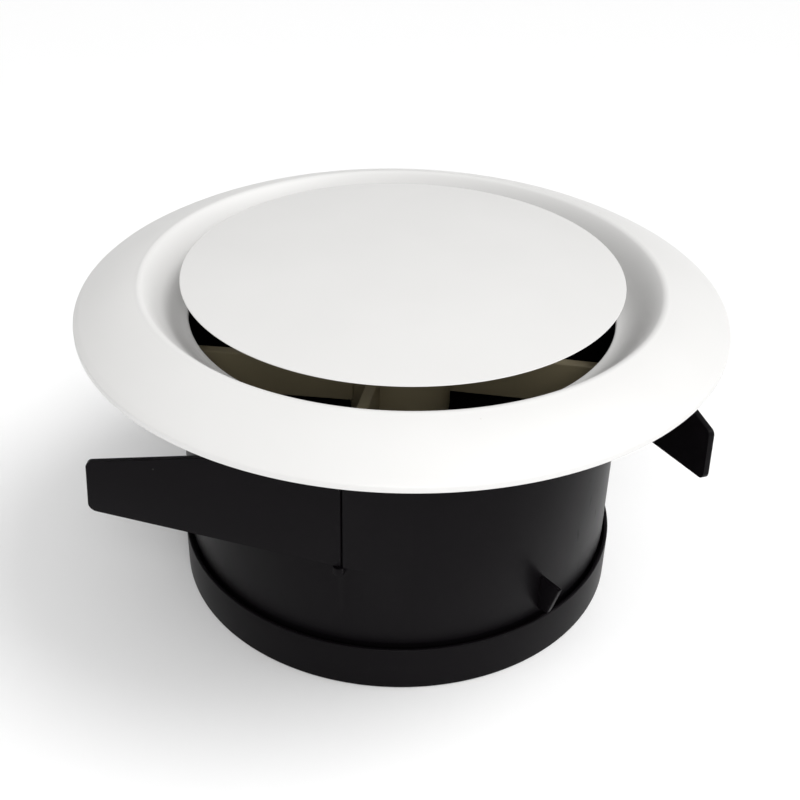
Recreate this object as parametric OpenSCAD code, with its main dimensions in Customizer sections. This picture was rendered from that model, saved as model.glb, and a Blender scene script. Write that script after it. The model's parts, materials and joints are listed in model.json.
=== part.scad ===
// Round ceiling air diffuser with a screw-in centre disc and three spring wings.
// Millimetres. The origin is on the axis at the lower end of the collar, and the face points up +Z.

/* [Face ring] */
// Outer diameter of the face ring
flange_d = 150; // [148:1:156]
// Height of the ring's rim plane above the collar's lower end
rim_z = 71; // [70:1:76]
// Height of the ring's crest above its rim plane
crest_h = 8; // [7.6:0.1:8.6]
// Thickness of the ring's moulded wall
face_wall = 1.7; // [1.4:0.1:2]

/* [Centre disc] */
// Diameter of the centre disc
disc_d = 102; // [98:1:103]
// Rise of the disc's shallow dome
dome_rise = 3; // [2:0.25:4]
// Thickness of the disc at its edge
disc_edge = 0.4; // [0.4:0.1:1]

/* [Collar] */
// Outer diameter of the collar
collar_d = 105.8; // [105:0.1:106.4]
// Thickness of the collar's wall
collar_wall = 1.8; // [1.4:0.1:2]
// Outer diameter of the end ring
end_ring_d = 108.8; // [108.4:0.1:109.6]
// Height of the end ring
end_ring_h = 11.6; // [9:0.1:13]

/* [Bridge] */
// Diameter of the hub
hub_d = 24.4; // [22:0.2:26]
// Thickness of the arms
arm_t = 2.65; // [2:0.05:3]
// Distance that each arm's mid-plane is set off the axis
arm_offset = 4.1; // [3.5:0.1:4.5]
// Diameter of the threaded spindle
spindle_d = 8; // [7:0.5:9]

/* [Wings] */
// Length of a wing from its root to its tip
wing_l = 52.6; // [46:0.2:54]
// Thickness of a wing
wing_t = 1.3; // [1.1:0.1:1.5]
// Angle that the left wing is opened out from the tangent
open_left = 10; // [0:1:20]
// Angle that the right wing is opened out from the tangent
open_right = 1; // [0:1:20]
// Angle that the back wing is opened out from the tangent
open_back = 6; // [0:1:20]

/* [Hidden] */
$fn = 180;

white = [0.93, 0.93, 0.92];
black = [0.11, 0.11, 0.115];
// Overlap of a cutting solid past the faces it cuts
cut = 1;

// Face ring
flange_r = flange_d / 2;
rim_band = 1.6;
crest_r = 60.2;
crest_round = 1.8;
crest_start = 78;
slope_bulge = 0.8;
throat_r = 49.6;
throat_drop = 0.6;
bowl_top_slope = 40;
bowl_top_run = 3.6;
bowl_low_run = 4.2;
socket_depth = 5;
socket_wall = 1.8;
foot_w = 1.6;
throat_floor = 1.4;
throat_split = 0.3;
back_slope = 1.16;
steps = 12;

// Collar and end ring
collar_r = collar_d / 2;
collar_bore_r = collar_r - collar_wall;
ring_r = end_ring_d / 2;
ring_wall = 0.8;
ring_floor = 2.5;
socket_z = rim_z - throat_drop - throat_floor;
neck_r = collar_r - 0.9;
neck_z = end_ring_h + 0.85;

// Bridge
hub_r = hub_d / 2;
hub_z = rim_z - 28.5;
hub_h = 15.5;
arm_z = rim_z - 25.5;
arm_h = 10.9;
arm_turn = -8.5;
arm_left_turn = -5.5;
arm_front_turn = -10;
running_gap = 0.06;
spindle_r = spindle_d / 2;
spindle_bottom = hub_z - 19;
stop_gap = 10.3;
nut_af = 13;
nut_h = 5.5;

// Centre disc
disc_r = disc_d / 2;
disc_top_z = rim_z + 8.1;
dome_r = (disc_r * disc_r + dome_rise * dome_rise) / (2 * dome_rise);
disc_skin = 1.6;
disc_undercut = 0.3;
boss_r = 7.5;
boss_z = hub_z + hub_h + 8;
boss_top_z = disc_top_z + dome_rise - disc_skin;
spindle_top = boss_top_z - 1.5;

// Wings
wing_gap = 0.5;
pivot_r = collar_r + wing_gap + wing_t / 2;
pivot_az = -103;
wing_bottom = rim_z - 36.2;
wing_root_top = rim_z - 6.9;
wing_tip_top = rim_z - 12.4;
wing_tip_bottom = rim_z - 25.1;
tip_top_round = 1.3;
tip_low_round = 2;
tip_slant = 0.6;
notch_w = 4;
notch_h = 4.7;
trunnion_r = 0.45;
trunnion_l = 1.4;
lug_r = 1.3;
lug_h = 1.9;
lug_gap = 0.3;
ramp_gap = 0.35;

// Fins
fin_az = -51;
fin_t = 1.2;
fin_top = rim_z - 48.1;
fin_bottom = rim_z - 57.1;
fin_tip_r = 58.8;

// Outer slope of the face ring at a share t of the way from the rim to the crest
function slope(t) = [
    flange_r + (crest_r - flange_r) * t,
    rim_z + rim_band + (crest_h - rim_band) * t + 4 * slope_bulge * t * (1 - t)
];
// Control points of the throat's bowl, from its level lower edge up to the rounded crest
bowl_low = [throat_r, rim_z - throat_drop];
bowl_top = [crest_r, rim_z + crest_h - crest_round] + crest_round * [-sin(bowl_top_slope), cos(bowl_top_slope)];
bowl_low_aim = bowl_low + [bowl_low_run, 0];
bowl_top_aim = bowl_top - bowl_top_run * [cos(bowl_top_slope), sin(bowl_top_slope)];
// The bowl at a share t of the way from its lower edge to the crest
function bowl(t) = bowl_low * pow(1 - t, 3) + 3 * bowl_low_aim * pow(1 - t, 2) * t
    + 3 * bowl_top_aim * (1 - t) * t * t + bowl_top * pow(t, 3);
// Point on the axis side of the disc's dome at radius r
function dome(r, top) = top - dome_r + sqrt(dome_r * dome_r - r * r);

// Points of a rounded corner about a centre, from angle first to angle last
function corner(centre, r, first, last) =
    [for (i = [0:6]) let (a = first + (last - first) * i / 6) centre + r * [cos(a), sin(a)]];
// Height of the sloping back of the throat at radius r
function throat_back(r) = rim_z - throat_drop + (r - collar_r - socket_wall) * back_slope;

// Rim, flange and crest of the face ring
module face_ring() {
    crest_top = rim_z + crest_h;
    outline = concat(
        [[flange_r, rim_z], [flange_r, rim_z + rim_band * 0.6], [flange_r - 0.3, rim_z + rim_band + 0.2]],
        [for (i = [1:steps - 1]) slope(i / steps)],
        corner([crest_r, crest_top - crest_round], crest_round, crest_start, 90 + bowl_top_slope),
        [[bowl_top[0], throat_back(bowl_top[0])]],
        [[crest_r - 1.4, throat_back(crest_r - 1.4)], [crest_r + 0.6, crest_top - 2.7]],
        [for (i = [steps - 2:-1:1]) slope(i / steps) - [0.3, face_wall + 0.2]],
        [[flange_r - foot_w, rim_z + 0.6], [flange_r - foot_w, rim_z]]
    );
    color(white) rotate_extrude() polygon(outline);
}

// Upper, steep part of the bowl
module throat_upper() {
    socket_r = collar_r + socket_wall;
    outline = concat(
        [for (i = [steps:-1:0]) bowl(throat_split + (1 - throat_split) * i / steps)],
        [[bowl(throat_split)[0], socket_z], [socket_r, socket_z], [socket_r, throat_back(socket_r)]],
        [[bowl_top[0], throat_back(bowl_top[0])]]
    );
    color(white) rotate_extrude() polygon(outline);
}

// Lower, flat part of the bowl, which the collar's end meets
module throat_lower() {
    outline = concat(
        [for (i = [steps / 2:-1:0]) bowl(throat_split * i / (steps / 2))],
        [[throat_r, socket_z], [bowl(throat_split)[0], socket_z]]
    );
    color(white) rotate_extrude() polygon(outline);
}

// Skirt behind the throat that grips the collar's end
module collar_socket() {
    color(white) translate([0, 0, socket_z - socket_depth + 0.6]) difference() {
        cylinder(r = collar_r + socket_wall, h = socket_depth - 0.6);
        translate([0, 0, -cut]) cylinder(r = collar_r, h = socket_depth + 2 * cut);
    }
}

module centre_disc() {
    under = disc_top_z + dome_rise - disc_skin;
    outline = concat(
        [for (i = [0:steps]) let (r = disc_r * i / steps) [r, dome(r, disc_top_z + dome_rise)]],
        [[disc_r - disc_undercut, disc_top_z - disc_edge]],
        [for (i = [steps - 1:-1:0]) let (r = disc_r * i / steps) [r, dome(r, under)]]
    );
    color(white) rotate_extrude() polygon(outline);
}

// Socket under the disc that holds the spindle, with six gussets
module disc_boss() {
    gusset_l = 15;
    gusset_h = 7;
    color(white) intersection() {
        difference() {
            union() {
                translate([0, 0, boss_z]) cylinder(r = boss_r, h = boss_top_z - boss_z);
                for (a = [0:60:300]) rotate(a) rotate([90, 0, 0])
                    translate([0, 0, -0.7]) linear_extrude(1.4) polygon([
                        [boss_r - 1, boss_top_z - gusset_h],
                        [boss_r + gusset_l, boss_top_z - 2],
                        [boss_r + gusset_l, boss_top_z],
                        [boss_r - 1, boss_top_z]
                    ]);
            }
            translate([0, 0, boss_z - cut])
                cylinder(r = spindle_r + running_gap, h = spindle_top + 0.3 - boss_z + cut);
        }
        rotate_extrude() polygon(concat(
            [[0, boss_z - cut], [disc_r, boss_z - cut]],
            [for (i = [steps - 1:-1:0]) let (r = disc_r * i / steps)
                [r, dome(r, disc_top_z + dome_rise - disc_skin)]]
        ));
    }
}

module spindle() {
    color(white) translate([0, 0, spindle_bottom]) cylinder(r = spindle_r, h = spindle_top - spindle_bottom);
}

module stop_nut() {
    nut_z = hub_z - stop_gap - nut_h;
    color(black) difference() {
        translate([0, 0, nut_z]) cylinder(r = nut_af / sqrt(3), h = nut_h, $fn = 6);
        translate([0, 0, nut_z - cut]) cylinder(r = spindle_r, h = nut_h + 2 * cut);
    }
}

// One lug on the collar, with a bore for a wing's trunnion
module lug(z) {
    rotate(pivot_az) translate([0, 0, z]) difference() {
        union() {
            translate([pivot_r, 0, 0]) cylinder(r = lug_r, h = lug_h);
            translate([collar_r - collar_wall / 2, -lug_r, 0])
                cube([pivot_r - collar_r + collar_wall / 2, 2 * lug_r, lug_h]);
        }
        translate([pivot_r, 0, -cut]) cylinder(r = trunnion_r + running_gap, h = lug_h + 2 * cut);
    }
}

// Flat ramp on the collar that meets a wing's root, so that the wall runs on into the wing
module ramp(low, high) {
    start_y = wing_t / 2 + ramp_gap;
    start_x = pivot_r + wing_t / 2 - 0.05;
    start_r = norm([start_x, start_y]);
    end_a = atan(start_y / start_x) + acos(collar_r / start_r);
    inside = collar_r - 1;
    fall = (wing_tip_bottom - wing_bottom) / (wing_l - 2);
    rotate(pivot_az) intersection() {
        translate([0, 0, low - 5]) linear_extrude(high - low + 5) polygon([
            [inside, start_y],
            [start_x, start_y],
            [collar_r * cos(end_a), collar_r * sin(end_a)],
            [inside * cos(end_a), inside * sin(end_a)]
        ]);
        rotate([90, 0, 90]) translate([0, 0, inside - 5]) linear_extrude(10) polygon([
            [0, low],
            [20, low - 20 * fall],
            [20, high + cut],
            [0, high + cut]
        ]);
    }
}

module collar() {
    lug_low = wing_bottom - lug_gap - lug_h;
    lug_high = wing_root_top - notch_h + lug_gap;
    color(black) difference() {
        union() {
            translate([0, 0, neck_z]) cylinder(r = collar_r, h = socket_z - neck_z);
            translate([0, 0, ring_floor]) cylinder(r = neck_r, h = neck_z - ring_floor + cut);
            for (a = [0, 120, 240]) rotate(a) {
                lug(lug_low);
                lug(lug_high);
                ramp(wing_bottom, lug_high + lug_h);
            }
        }
        translate([0, 0, ring_floor - cut])
            cylinder(r = collar_bore_r, h = socket_z - ring_floor + 2 * cut);
    }
}

module end_ring() {
    color(black) rotate_extrude() polygon([
        [collar_bore_r, 0],
        [ring_r, 0],
        [ring_r, end_ring_h],
        [ring_r - ring_wall, end_ring_h],
        [ring_r - ring_wall, ring_floor],
        [collar_bore_r, ring_floor]
    ]);
}

module hub() {
    color(black) translate([0, 0, hub_z]) difference() {
        cylinder(r = hub_r, h = hub_h);
        translate([0, 0, -cut]) cylinder(r = spindle_r + running_gap, h = hub_h + 2 * cut);
    }
}

// One arm of the bridge, towards azimuth az and set off to one side
module arm(az, side) {
    color(black) intersection() {
        rotate(az) translate([0, side * arm_offset - arm_t / 2, arm_z]) cube([collar_r, arm_t, arm_h]);
        difference() {
            translate([0, 0, arm_z - cut]) cylinder(r = collar_bore_r, h = arm_h + 2 * cut);
            translate([0, 0, arm_z - 2 * cut]) cylinder(r = hub_r, h = arm_h + 4 * cut);
        }
    }
}

// One barb on the collar's wall, towards azimuth az
module fin(az) {
    color(black) difference() {
        rotate(az) rotate([90, 0, 0]) translate([0, 0, -fin_t / 2]) linear_extrude(fin_t) polygon([
            [collar_r - 1, fin_bottom],
            [collar_r + 1.3, fin_bottom],
            [fin_tip_r - 2.6, fin_bottom + 0.7],
            [fin_tip_r, fin_top],
            [collar_r - 1, fin_top]
        ]);
        translate([0, 0, fin_bottom - cut]) cylinder(r = collar_r, h = fin_top - fin_bottom + 2 * cut);
    }
}

// One spring wing, hinged at azimuth az and opened out from the tangent
module wing(az, opened) {
    top_centre = [wing_l - tip_slant - tip_top_round, wing_tip_top - tip_top_round];
    low_centre = [wing_l - tip_low_round, wing_tip_bottom + tip_low_round];
    notch_z = wing_root_top - notch_h;
    top_fall = atan((wing_root_top - wing_tip_top) / (wing_l - 2));
    low_rise = atan((wing_tip_bottom - wing_bottom) / (wing_l - 2));
    outline = concat(
        [[0, wing_bottom]],
        corner(low_centre, tip_low_round, low_rise - 90, 0),
        corner(top_centre, tip_top_round, 0, 90 - top_fall),
        [[notch_w, wing_root_top - notch_w * tan(top_fall)], [notch_w, notch_z], [0, notch_z]]
    );
    color(black) rotate(az) translate([pivot_r, 0, 0]) rotate(-90 + opened) {
        rotate([90, 0, 0]) translate([0, 0, -wing_t / 2]) linear_extrude(wing_t) polygon(outline);
        translate([0, 0, wing_bottom]) cylinder(r = wing_t / 2, h = notch_z - wing_bottom);
        translate([0, 0, wing_bottom - lug_gap - trunnion_l])
            cylinder(r = trunnion_r, h = notch_z - wing_bottom + 2 * (lug_gap + trunnion_l));
    }
}

module arm_left() { arm(180 + arm_left_turn, 1); }
module arm_front() { arm(-90 + arm_front_turn, -1); }
module arm_right() { arm(arm_turn, 1); }
module arm_back() { arm(90 + arm_turn, -1); }
module fin_front() { fin(fin_az); }
module fin_back() { fin(fin_az + 120); }
module fin_left() { fin(fin_az + 240); }
module wing_left() { wing(pivot_az, open_left); }
module wing_right() { wing(pivot_az + 120, open_right); }
module wing_back() { wing(pivot_az + 240, open_back); }

face_ring();
throat_upper();
throat_lower();
collar_socket();
centre_disc();
disc_boss();
spindle();
stop_nut();
collar();
end_ring();
hub();
arm_left();
arm_front();
arm_right();
arm_back();
fin_front();
fin_back();
fin_left();
wing_left();
wing_right();
wing_back();
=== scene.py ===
import bpy
import json
import math
from mathutils import Matrix, Vector

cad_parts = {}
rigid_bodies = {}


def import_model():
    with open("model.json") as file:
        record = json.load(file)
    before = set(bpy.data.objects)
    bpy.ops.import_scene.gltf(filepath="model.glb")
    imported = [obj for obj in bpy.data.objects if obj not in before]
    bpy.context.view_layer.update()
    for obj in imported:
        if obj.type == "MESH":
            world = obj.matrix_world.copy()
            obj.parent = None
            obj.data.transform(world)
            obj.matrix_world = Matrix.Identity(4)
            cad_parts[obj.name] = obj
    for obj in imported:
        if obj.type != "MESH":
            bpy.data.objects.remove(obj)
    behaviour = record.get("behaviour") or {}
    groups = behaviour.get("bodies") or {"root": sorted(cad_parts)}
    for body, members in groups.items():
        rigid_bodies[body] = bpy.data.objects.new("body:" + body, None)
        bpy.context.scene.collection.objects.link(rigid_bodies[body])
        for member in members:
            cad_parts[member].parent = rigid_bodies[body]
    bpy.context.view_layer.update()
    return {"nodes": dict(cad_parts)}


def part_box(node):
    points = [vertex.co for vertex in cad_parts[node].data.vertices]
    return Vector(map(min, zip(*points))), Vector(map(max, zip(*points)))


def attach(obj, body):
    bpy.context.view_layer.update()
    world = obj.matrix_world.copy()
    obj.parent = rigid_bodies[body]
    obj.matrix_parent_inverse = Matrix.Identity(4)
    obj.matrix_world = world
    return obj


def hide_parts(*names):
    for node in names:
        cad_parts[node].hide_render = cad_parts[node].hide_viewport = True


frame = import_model()

# FACE RING
# The face ring is one white ABS moulding: rim, sloping flange, rounded crest and bowl-shaped throat, with a socket
# behind it that the collar presses into. It comes satin from a lightly spark-eroded mould.
MM = 0.001
ring_low, ring_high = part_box("face_ring")
rim_r = ring_high[0]
crest_z = ring_high[2]
rim_z = ring_low[2]
rim_band = 1.6 * MM
crest_r = 60.2 * MM
crest_round = 1.8 * MM
slope_bulge = 0.8 * MM
throat_r = 49.6 * MM
throat_z = rim_z - 0.6 * MM
face_wall = 1.7 * MM
collar_r = 52.9 * MM
socket_wall = 1.8 * MM
socket_top_z = rim_z - 2.0 * MM
socket_low_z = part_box("collar_socket")[0][2]
foot_w = 1.6 * MM
foot_h = 0.6 * MM
rim_corner = 0.6 * MM
rim_bevel = 0.15 * MM
lip_round = 0.4 * MM
crest_start = 78
bowl_steepness = 40
under_slope = face_wall + 0.2 * MM
under_crest = (crest_r + 0.6 * MM, crest_z - 2.7 * MM)
under_bowl_z = rim_z + 4.18 * MM


def lathe(name, outline):
    """A body of revolution about Z, from its closed outline of (radius, height) points in metres."""
    around = 256
    same_point = 0.002 * MM
    bpy.ops.object.select_all(action="DESELECT")
    start = (outline[0][0], 0, outline[0][1])
    bpy.ops.mesh.primitive_plane_add(size=MM, location=start)
    turned = bpy.context.object
    turned.name = name
    bpy.ops.object.mode_set(mode="EDIT")
    bpy.ops.mesh.select_all(action="SELECT")
    bpy.ops.mesh.merge(type="CENTER")
    here = outline[0]
    for point in outline[1:] + outline[:1]:
        step = (point[0] - here[0], 0, point[1] - here[1])
        bpy.ops.mesh.extrude_region_move(TRANSFORM_OT_translate={"value": step})
        here = point
    bpy.ops.mesh.select_all(action="SELECT")
    bpy.ops.mesh.remove_doubles(threshold=same_point)
    bpy.ops.mesh.select_all(action="SELECT")
    bpy.ops.mesh.spin(steps=around, angle=2 * math.pi, center=(0, 0, 0), axis=(0, 0, 1))
    bpy.ops.mesh.select_all(action="SELECT")
    bpy.ops.mesh.remove_doubles(threshold=same_point)
    bpy.ops.mesh.normals_make_consistent(inside=False)
    bpy.ops.object.mode_set(mode="OBJECT")
    settle(turned)
    return turned


def settle(piece):
    """Puts a finished piece's place into its mesh and smooths all but its sharp edges."""
    sharp_edge = math.radians(35)
    bpy.ops.object.select_all(action="DESELECT")
    piece.select_set(True)
    bpy.context.view_layer.objects.active = piece
    bpy.ops.object.transform_apply(location=True, rotation=True, scale=True)
    bpy.ops.object.shade_smooth_by_angle(angle=sharp_edge)


def arc(centre, radius, first, last, count):
    """Points of a round stretch of an outline, from angle first to angle last in degrees."""
    angles = [math.radians(first + (last - first) * i / count) for i in range(count + 1)]
    return [(centre[0] + radius * math.cos(a), centre[1] + radius * math.sin(a)) for a in angles]


def slope(t, down=0.0):
    """The flange's slope at a share t of the way from rim to crest, dropped by down."""
    rise = (crest_z - rim_z - rim_band) * t + 4 * slope_bulge * t * (1 - t)
    return (rim_r + (crest_r - rim_r) * t, rim_z + rim_band + rise - down)


bowl_slope = math.radians(bowl_steepness)
bowl_low = Vector((throat_r, throat_z))
crest_centre_z = rim_z + 6.2 * MM
bowl_top = Vector((crest_r - crest_round * math.sin(bowl_slope),
                   crest_centre_z + crest_round * math.cos(bowl_slope)))
bowl_low_aim = bowl_low + Vector((4.2 * MM, 0))
bowl_top_aim = bowl_top - 3.6 * MM * Vector((math.cos(bowl_slope), math.sin(bowl_slope)))


def bowl(t):
    """The throat's bowl at a share t of the way from its level lower edge up to the rounded crest."""
    point = (bowl_low * (1 - t) ** 3 + 3 * bowl_low_aim * (1 - t) ** 2 * t
             + 3 * bowl_top_aim * (1 - t) * t ** 2 + bowl_top * t ** 3)
    return (point.x, point.y)


socket_outer_r = collar_r + socket_wall
ring_outline = [(rim_r - rim_bevel, rim_z), (rim_r, rim_z + rim_bevel)]
ring_outline += arc((rim_r - rim_corner, rim_z + rim_band - 0.5 * MM), rim_corner, 0, 60, 6)
ring_outline += [slope(i / 40) for i in range(3, 39)]
ring_outline += arc((crest_r, crest_z - crest_round), crest_round, crest_start, 90 + bowl_steepness, 14)
ring_outline += [bowl(1 - i / 32) for i in range(1, 31)]
ring_outline += arc((throat_r + lip_round, throat_z - lip_round), lip_round, 90, 180, 4)
ring_outline += [(throat_r, socket_top_z), (collar_r, socket_top_z), (collar_r, socket_low_z)]
ring_outline += [(socket_outer_r, socket_low_z), (socket_outer_r, throat_z)]
ring_outline += [(bowl_top.x, under_bowl_z), under_crest]
ring_outline += [slope(1 - i / 12, under_slope) for i in range(2, 12)]
ring_outline += [(rim_r - foot_w, rim_z + foot_h), (rim_r - foot_w, rim_z)]
face_ring = lathe("ring_face", ring_outline)
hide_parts("face_ring", "throat_upper", "throat_lower", "collar_socket")
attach(face_ring, "housing")


def moulded_grain():
    """Node group: the satin grain, faint flow marks, specks and scuffs that a moulded plastic surface carries."""
    group = bpy.data.node_groups.new("moulded_grain", "ShaderNodeTree")
    face = group.interface
    face.new_socket("Grain size", in_out="INPUT", socket_type="NodeSocketFloat")
    face.new_socket("Scuff amount", in_out="INPUT", socket_type="NodeSocketFloat")
    face.new_socket("Height", in_out="OUTPUT", socket_type="NodeSocketFloat")
    face.new_socket("Cloud", in_out="OUTPUT", socket_type="NodeSocketFloat")
    face.new_socket("Speck", in_out="OUTPUT", socket_type="NodeSocketFloat")
    face.new_socket("Scuff", in_out="OUTPUT", socket_type="NodeSocketFloat")
    nodes, links = group.nodes, group.links
    enter = nodes.new("NodeGroupInput")
    leave = nodes.new("NodeGroupOutput")
    place = nodes.new("ShaderNodeTexCoord")
    grain = nodes.new("ShaderNodeTexNoise")
    grain.inputs["Detail"].default_value = 4
    links.new(place.outputs["Object"], grain.inputs["Vector"])
    links.new(enter.outputs["Grain size"], grain.inputs["Scale"])
    cloud = nodes.new("ShaderNodeTexNoise")
    cloud.inputs["Scale"].default_value = 38
    cloud.inputs["Detail"].default_value = 3
    links.new(place.outputs["Object"], cloud.inputs["Vector"])
    flow = nodes.new("ShaderNodeTexNoise")
    flow.inputs["Scale"].default_value = 140
    flow.inputs["Detail"].default_value = 2
    flow.inputs["Distortion"].default_value = 0.6
    links.new(place.outputs["Object"], flow.inputs["Vector"])
    height = nodes.new("ShaderNodeMath")
    height.operation = "MULTIPLY_ADD"
    height.inputs[1].default_value = 0.35
    links.new(flow.outputs["Fac"], height.inputs[0])
    links.new(grain.outputs["Fac"], height.inputs[2])
    dots = nodes.new("ShaderNodeTexVoronoi")
    dots.inputs["Scale"].default_value = 260
    links.new(place.outputs["Object"], dots.inputs["Vector"])
    speck = nodes.new("ShaderNodeMapRange")
    speck.inputs["From Min"].default_value = 0.07
    speck.inputs["From Max"].default_value = 0.03
    links.new(dots.outputs["Distance"], speck.inputs["Value"])
    chance = nodes.new("ShaderNodeMath")
    chance.operation = "GREATER_THAN"
    chance.inputs[1].default_value = 0.97
    tint = nodes.new("ShaderNodeSeparateColor")
    links.new(dots.outputs["Color"], tint.inputs["Color"])
    links.new(tint.outputs["Red"], chance.inputs[0])
    rare = nodes.new("ShaderNodeMath")
    rare.operation = "MULTIPLY"
    links.new(speck.outputs["Result"], rare.inputs[0])
    links.new(chance.outputs["Value"], rare.inputs[1])
    stretch = nodes.new("ShaderNodeMapping")
    stretch.inputs["Rotation"].default_value = (0.3, 0.2, 0.9)
    stretch.inputs["Scale"].default_value = (30, 900, 200)
    links.new(place.outputs["Object"], stretch.inputs["Vector"])
    rub = nodes.new("ShaderNodeTexNoise")
    rub.inputs["Scale"].default_value = 1
    rub.inputs["Detail"].default_value = 2
    links.new(stretch.outputs["Vector"], rub.inputs["Vector"])
    scuff = nodes.new("ShaderNodeMapRange")
    scuff.inputs["From Min"].default_value = 0.66
    scuff.inputs["From Max"].default_value = 0.8
    links.new(rub.outputs["Fac"], scuff.inputs["Value"])
    worn = nodes.new("ShaderNodeMath")
    worn.operation = "MULTIPLY"
    links.new(scuff.outputs["Result"], worn.inputs[0])
    links.new(enter.outputs["Scuff amount"], worn.inputs[1])
    links.new(height.outputs["Value"], leave.inputs["Height"])
    links.new(cloud.outputs["Fac"], leave.inputs["Cloud"])
    links.new(rare.outputs["Value"], leave.inputs["Speck"])
    links.new(worn.outputs["Value"], leave.inputs["Scuff"])
    return group


grain_group = moulded_grain()


def plastic(name, low, high, speck, smooth, rough, grain, scuffs, bump, specular):
    """A moulded plastic: colours low and high drift over the surface, specks and scuffs lie on top."""
    material = bpy.data.materials.new(name)
    material.use_nodes = True
    nodes, links = material.node_tree.nodes, material.node_tree.links
    shader = nodes["Principled BSDF"]
    shader.inputs["Specular IOR Level"].default_value = specular
    surface = nodes.new("ShaderNodeGroup")
    surface.node_tree = grain_group
    surface.inputs["Grain size"].default_value = grain
    surface.inputs["Scuff amount"].default_value = scuffs
    drift = nodes.new("ShaderNodeMix")
    drift.data_type = "RGBA"
    drift.inputs["A"].default_value = (*low, 1)
    drift.inputs["B"].default_value = (*high, 1)
    links.new(surface.outputs["Cloud"], drift.inputs["Factor"])
    dust = nodes.new("ShaderNodeMix")
    dust.data_type = "RGBA"
    dust.inputs["B"].default_value = (*speck, 1)
    links.new(drift.outputs["Result"], dust.inputs["A"])
    links.new(surface.outputs["Speck"], dust.inputs["Factor"])
    links.new(dust.outputs["Result"], shader.inputs["Base Color"])
    sheen = nodes.new("ShaderNodeMapRange")
    sheen.inputs["To Min"].default_value = smooth
    sheen.inputs["To Max"].default_value = rough
    links.new(surface.outputs["Cloud"], sheen.inputs["Value"])
    rubbed = nodes.new("ShaderNodeMath")
    rubbed.operation = "ADD"
    links.new(sheen.outputs["Result"], rubbed.inputs[0])
    links.new(surface.outputs["Scuff"], rubbed.inputs[1])
    links.new(rubbed.outputs["Value"], shader.inputs["Roughness"])
    relief = nodes.new("ShaderNodeBump")
    relief.inputs["Strength"].default_value = 1
    relief.inputs["Distance"].default_value = bump
    links.new(surface.outputs["Height"], relief.inputs["Height"])
    links.new(relief.outputs["Normal"], shader.inputs["Normal"])
    return material


white_satin = plastic(
    "white_satin_abs", low=(0.685, 0.680, 0.670), high=(0.722, 0.717, 0.707), speck=(0.52, 0.50, 0.46),
    smooth=0.34, rough=0.46, grain=2600, scuffs=0.08, bump=0.012 * MM, specular=0.45)
face_ring.data.materials.append(white_satin)

# CENTRE DISC
# The centre disc is a shallow white dish moulded in the same ABS as the ring, with a thin, crisp edge. It is turned
# by hand to open or close the gap round it.
disc_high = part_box("centre_disc")[1]
disc_r = disc_high[0]
dome_rise = 3 * MM
disc_skin = 1.6 * MM
disc_edge_z = disc_high[2] - dome_rise
dome_radius = (disc_r ** 2 + dome_rise ** 2) / (2 * dome_rise)


def dome(radius, top):
    """Height of the disc's dome at a radius, below its top."""
    return top - dome_radius + math.sqrt(dome_radius ** 2 - radius ** 2)


edge_undercut = 0.35 * MM
edge_h = 0.4 * MM
edge_break = 0.12 * MM
disc_under = disc_high[2] - disc_skin
disc_outline = [(disc_r * i / 32, dome(disc_r * i / 32, disc_high[2])) for i in range(32)]
disc_outline += [(disc_r - edge_break, disc_edge_z), (disc_r, disc_edge_z - edge_break)]
disc_outline += [(disc_r - edge_undercut, disc_edge_z - edge_h)]
disc_outline += [(disc_r * i / 32, dome(disc_r * i / 32, disc_under)) for i in range(29, -1, -1)]
centre_disc = lathe("disc_dish", disc_outline)
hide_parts("centre_disc")
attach(centre_disc, "disc_body")
centre_disc.data.materials.append(white_satin)

# DISC BOSS
# The socket under the disc takes the spindle's upper end. It is moulded with the disc and stiffened by six gussets.


def eased(node, name, width, body, finish):
    """A copy of a CAD node with its facets merged and its sharp edges rounded, which then stands for the node."""
    same_point = 0.001 * MM
    flat_within = math.radians(0.3)
    rounded_above = math.radians(40)
    source = frame["nodes"][node]
    bpy.ops.object.select_all(action="DESELECT")
    source.select_set(True)
    bpy.context.view_layer.objects.active = source
    bpy.ops.object.duplicate(linked=False)
    piece = bpy.context.object
    piece.name = name
    bpy.ops.object.parent_clear(type="CLEAR_KEEP_TRANSFORM")
    piece.data.materials.clear()
    bpy.ops.object.mode_set(mode="EDIT")
    bpy.ops.mesh.customdata_custom_splitnormals_clear()
    bpy.ops.mesh.select_all(action="SELECT")
    bpy.ops.mesh.remove_doubles(threshold=same_point)
    bpy.ops.mesh.dissolve_limited(angle_limit=flat_within)
    bpy.ops.object.mode_set(mode="OBJECT")
    rounding = piece.modifiers.new("rounding", "BEVEL")
    rounding.width = width
    rounding.segments = 3
    rounding.limit_method = "ANGLE"
    rounding.angle_limit = rounded_above
    bpy.ops.object.modifier_apply(modifier="rounding")
    settle(piece)
    piece.data.materials.append(finish)
    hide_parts(node)
    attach(piece, body)
    return piece


inner_white = plastic(
    "white_satin_inner", low=(0.66, 0.65, 0.63), high=(0.71, 0.70, 0.68), speck=(0.45, 0.42, 0.38),
    smooth=0.38, rough=0.52, grain=2600, scuffs=0.1, bump=0.012 * MM, specular=0.4)
eased("disc_boss", "disc_socket", 0.25 * MM, "disc_body", inner_white)

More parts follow.
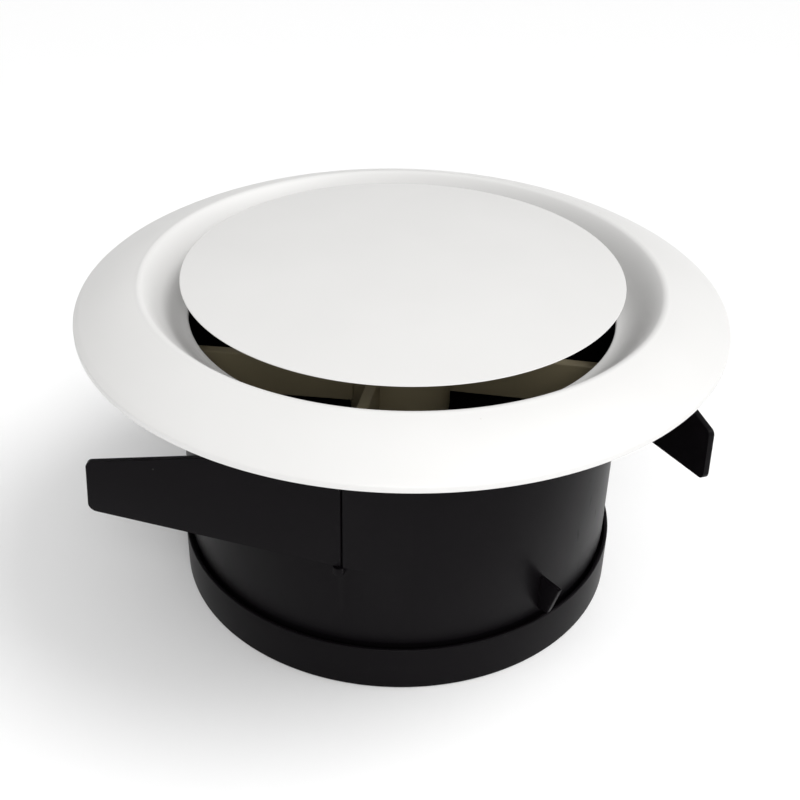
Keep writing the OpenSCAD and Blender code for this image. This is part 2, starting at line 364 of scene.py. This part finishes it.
# SPINDLE
# The spindle is a coarse two-start screw moulded in white plastic. It runs through the hub and is fixed in the disc's
# socket.
spindle_low, spindle_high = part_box("spindle")
thread_r = spindle_high[0]
root_r = thread_r - 0.8 * MM
lead = 4 * MM
starts = 2
turn_steps = 40
tooth = [(root_r, 0.0), (root_r, 0.45), (thread_r, 0.85), (thread_r, 1.25), (root_r, 1.65), (root_r, 2.0)]
thread_line = [(r, spindle_low[2] - lead + z * MM) for r, z in tooth]
thread_line += [(r, z + lead / starts) for r, z in thread_line[1:]]
bpy.ops.object.select_all(action="DESELECT")
bpy.ops.mesh.primitive_plane_add(size=MM, location=(thread_line[0][0], 0, thread_line[0][1]))
spindle = bpy.context.object
spindle.name = "spindle_screw"
bpy.ops.object.mode_set(mode="EDIT")
bpy.ops.mesh.select_all(action="SELECT")
bpy.ops.mesh.merge(type="CENTER")
for near, far in zip(thread_line, thread_line[1:]):
    thread_step = (far[0] - near[0], 0, far[1] - near[1])
    bpy.ops.mesh.extrude_region_move(TRANSFORM_OT_translate={"value": thread_step})
bpy.ops.object.mode_set(mode="OBJECT")
bpy.ops.object.transform_apply(location=True, rotation=True, scale=True)
winding = spindle.modifiers.new("winding", "SCREW")
winding.axis = "Z"
winding.screw_offset = lead
winding.iterations = math.ceil((spindle_high[2] - spindle_low[2]) / lead) + 2
winding.steps = turn_steps
winding.use_merge_vertices = True
winding.merge_threshold = 0.001 * MM
bpy.ops.object.modifier_apply(modifier="winding")
bpy.ops.object.mode_set(mode="EDIT")
for cut_z, cut_side in ((spindle_low[2], -1), (spindle_high[2], 1)):
    bpy.ops.mesh.select_all(action="SELECT")
    bpy.ops.mesh.bisect(plane_co=(0, 0, cut_z), plane_no=(0, 0, cut_side), use_fill=True, clear_outer=True)
bpy.ops.mesh.select_all(action="SELECT")
bpy.ops.mesh.normals_make_consistent(inside=False)
bpy.ops.object.mode_set(mode="OBJECT")
settle(spindle)
spindle.data.materials.append(inner_white)
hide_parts("spindle")
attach(spindle, "spindle_body")

# COLLAR
# The collar is the black tube that passes through the ceiling board. Its lugs for the wings are moulded on it, and
# its lower end is necked down to take the end ring.
black_satin = plastic(
    "black_satin_abs", low=(0.0034, 0.0028, 0.0035), high=(0.0048, 0.0041, 0.0049), speck=(0.025, 0.025, 0.023),
    smooth=0.30, rough=0.42, grain=2200, scuffs=0.1, bump=0.008 * MM, specular=0.055)
eased("collar", "collar_tube", 0.12 * MM, "housing", black_satin)

# BRIDGE
# The hub and its four arms are moulded with the collar and hold the spindle. They are the same black ABS with some
# dust of the duct on it, but their olive-brown colour is lightened far past black with painted light for the warm
# bounce from the white throat.
# The low and high colours are painted bounce light over dusty black plastic; only the speck colour is real dust.
dusty_black_painted_bounce = plastic(
    "black_satin_dust_and_painted_bounce", low=(0.27, 0.228, 0.140), high=(0.38, 0.322, 0.200), speck=(0.40, 0.36, 0.27),
    smooth=0.40, rough=0.55, grain=2200, scuffs=0.15, bump=0.010 * MM, specular=0.4)
for bridge_part in ("hub", "arm_left", "arm_front", "arm_right", "arm_back"):
    eased(bridge_part, "bridge_" + bridge_part, 0.3 * MM, "housing", dusty_black_painted_bounce)

# STOP NUT
# The black nut pressed on the spindle's lower end keeps the disc from being screwed right out. It is a small moulding
# with well rounded corners.
eased("stop_nut", "nut_stop", 0.4 * MM, "spindle_body", black_satin)

# FINS
# Three thin barbs are moulded on the collar's outside, just above the end ring. They bite into the mouth of the duct
# when the diffuser is pushed in.
for fin in ("fin_front", "fin_back", "fin_left"):
    eased(fin, "barb_" + fin, 0.2 * MM, "housing", black_satin)

# WINGS
# The three thin tongues are the diffuser's springs, in the same black ABS as the collar. They lie along it while it is
# pushed through the ceiling board, and then spread out behind the board.
for side in ("left", "right", "back"):
    eased("wing_" + side, "tongue_" + side, 0.22 * MM, "wing_" + side + "_body", black_satin)

# END RING
# The end ring is a separate black moulding that is pressed on the collar's necked lower end. Its thin wall stands off
# the collar and leaves an open channel round it.
end_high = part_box("end_ring")[1]
end_r = end_high[0]
end_wall = 0.8 * MM
end_floor = 2.5 * MM
bore_r = 51.1 * MM
lip = 0.3 * MM
lip_step = 0.1 * MM
end_outline = [(bore_r, 0), (end_r - lip, 0), (end_r, lip), (end_r, end_high[2] - lip)]
end_outline += arc((end_r - lip, end_high[2] - lip), lip, 0, 90, 5)[1:]
end_outline += [(end_r - end_wall, end_high[2] - lip_step), (end_r - end_wall, end_floor), (bore_r, end_floor)]
end_ring = lathe("ring_end", end_outline)
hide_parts("end_ring")
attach(end_ring, "housing")
end_ring.data.materials.append(black_satin)

# FLOOR, LIGHT AND CAMERA
# A plain pale floor under an even studio sky. A soft sun and a wide wash of light come from the right, and a small
# softbox beside the camera lights the front and reaches into the gap.
bpy.ops.object.select_all(action="DESELECT")
floor_size = 12
bpy.ops.mesh.primitive_plane_add(size=floor_size, location=(0, 0, 0))
floor = bpy.context.object
floor.name = "floor"
floor_paint = bpy.data.materials.new("floor_paint")
floor_paint.use_nodes = True
floor_shader = floor_paint.node_tree.nodes["Principled BSDF"]
floor_shader.inputs["Base Color"].default_value = (0.97, 0.97, 0.97, 1)
floor_shader.inputs["Roughness"].default_value = 0.7
floor_shader.inputs["Specular IOR Level"].default_value = 0.2
floor.data.materials.append(floor_paint)

world = bpy.data.worlds.new("studio")
bpy.context.scene.world = world
world.use_nodes = True
world.node_tree.nodes["Background"].inputs["Color"].default_value = (1, 1, 1, 1)
world.node_tree.nodes["Background"].inputs["Strength"].default_value = 0.45

softbox_place = Vector((0.04, -0.55, 0.42))
softbox_aim = Vector((0, 0, 0.07))
softbox_lamp = bpy.data.lights.new("softbox", "AREA")
softbox_lamp.size = 0.25
softbox_lamp.energy = 1.6
softbox = bpy.data.objects.new("softbox", softbox_lamp)
bpy.context.collection.objects.link(softbox)
softbox.location = softbox_place
softbox.rotation_euler = (softbox_aim - softbox_place).to_track_quat("-Z", "Y").to_euler()


def daylight(name, direction, spread, strength):
    """Soft light from far off along a direction, spread over an angle in degrees."""
    lamp = bpy.data.lights.new(name, "SUN")
    lamp.angle = math.radians(spread)
    lamp.energy = strength
    holder = bpy.data.objects.new(name, lamp)
    bpy.context.collection.objects.link(holder)
    holder.rotation_euler = Vector(direction).to_track_quat("-Z", "Y").to_euler()


daylight("key", (-0.54, 0.0, -0.84), 32, 1.2)
daylight("wash", (-0.70, 0.0, -0.70), 120, 1.0)

camera = bpy.data.cameras.new("camera")
camera.lens = 54
camera.sensor_width = 36
camera.clip_start = 0.01
viewer = bpy.data.objects.new("camera", camera)
bpy.context.collection.objects.link(viewer)
camera_place = (0, -0.24939, 0.20304)
camera_tilt = math.radians(57.34)
camera_roll = math.radians(1.45)
viewer.matrix_world = (Matrix.Translation(camera_place)
                       @ Matrix.Rotation(camera_tilt, 4, "X")
                       @ Matrix.Rotation(camera_roll, 4, "Z"))
bpy.context.scene.camera = viewer
bpy.context.scene.view_settings.view_transform = "Standard"
